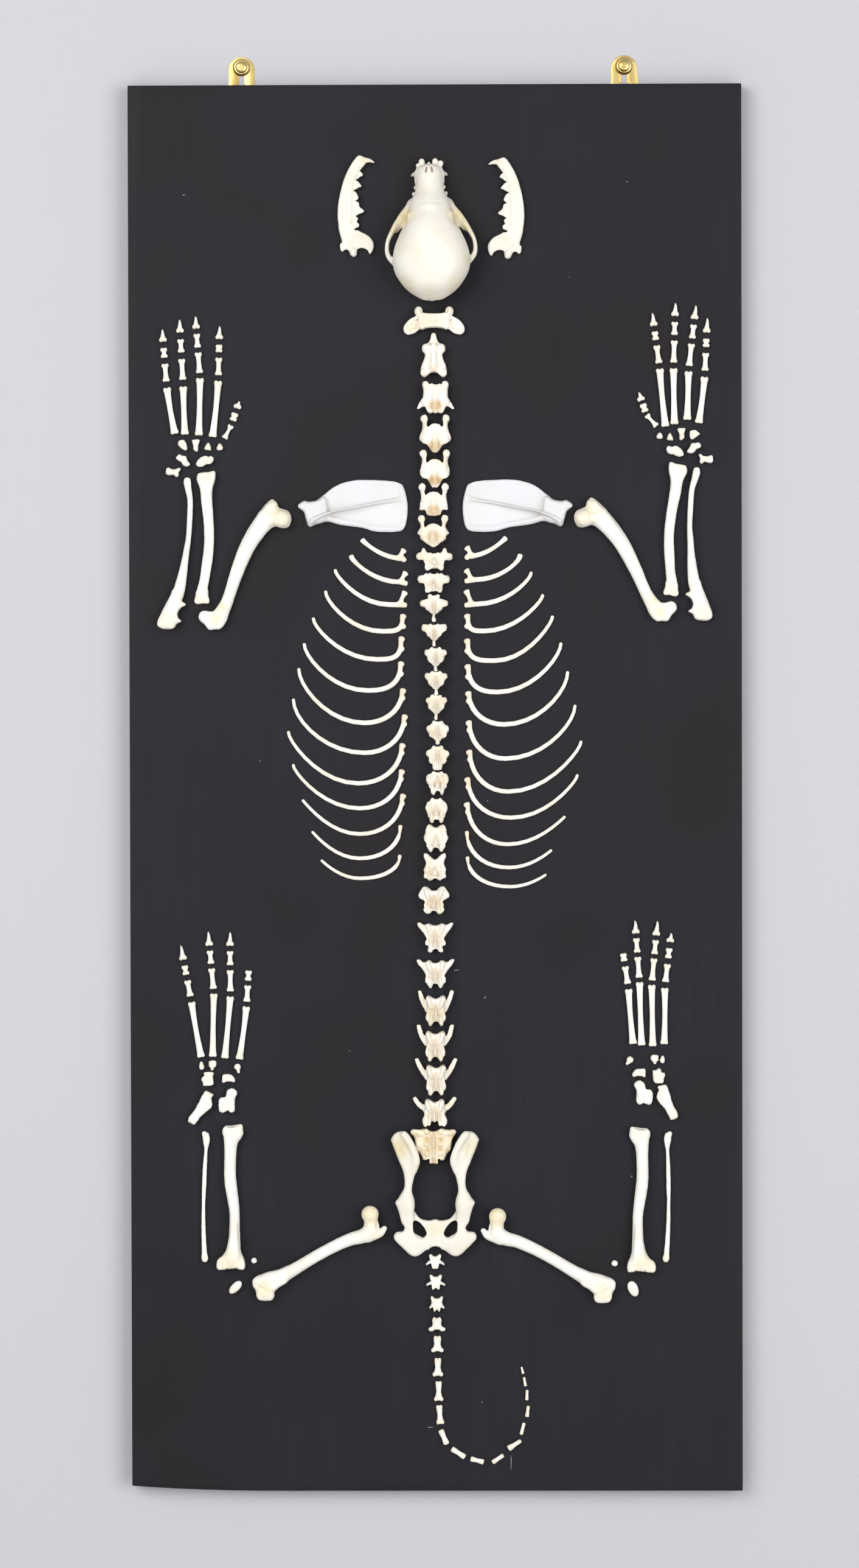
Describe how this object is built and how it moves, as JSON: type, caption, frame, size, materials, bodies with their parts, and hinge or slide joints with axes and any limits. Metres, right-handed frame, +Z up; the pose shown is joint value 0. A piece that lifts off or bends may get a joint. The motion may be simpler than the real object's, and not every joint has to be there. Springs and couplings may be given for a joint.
{
  "type": "mounted dog skeleton",
  "caption": "Skeleton of a toy-sized dog taken apart and laid out bone by bone on a tall black wall board, hung on brass mirror plates.",
  "frame": {"origin": "centre of the board's back, which lies flat on the wall", "axes": "+Z up along the board's height, +Y into the wall, so the bones face -Y; +X to the viewer's right"},
  "size_m": [0.422, 0.0565, 0.9905],
  "materials": {
    "bone": "dry cleaned bone, cream with ochre stains",
    "black_board": "matte black paint",
    "brass": "pale satin brass"
  },
  "bodies": {
    "root": {"board": "black_board", "femur_L": "bone", "femur_R": "bone", "fibula_L": "bone", "fibula_R": "bone", "hanger_plate_L": "brass", "hanger_plate_R": "brass", "humerus_L": "bone", "humerus_R": "bone", "mandible_L": "bone", "mandible_R": "bone", "patella_L": "bone", "patella_R": "bone", "pelvis": "bone", "radius_L": "bone", "radius_R": "bone", "sacrum": "bone", "scapula_L": "bone", "scapula_R": "bone", "screw_L": "brass", "screw_R": "brass", "skull": "bone", "tibia_L": "bone", "tibia_R": "bone", "ulna_L": "bone", "ulna_R": "bone", "vertebra_C1": "bone", "vertebra_C2": "bone", "vertebra_C3": "bone", "vertebra_C4": "bone", "vertebra_C5": "bone", "vertebra_C6": "bone", "vertebra_C7": "bone", "vertebra_L1": "bone", "vertebra_L2": "bone", "vertebra_L3": "bone", "vertebra_L4": "bone", "vertebra_L5": "bone", "vertebra_L6": "bone", "vertebra_L7": "bone", "vertebra_T1": "bone", "vertebra_T10": "bone", "vertebra_T11": "bone", "vertebra_T12": "bone", "vertebra_T13": "bone", "vertebra_T2": "bone", "vertebra_T3": "bone", "vertebra_T4": "bone", "vertebra_T5": "bone", "vertebra_T6": "bone", "vertebra_T7": "bone", "vertebra_T8": "bone", "vertebra_T9": "bone"}
  },
  "joints": []
}
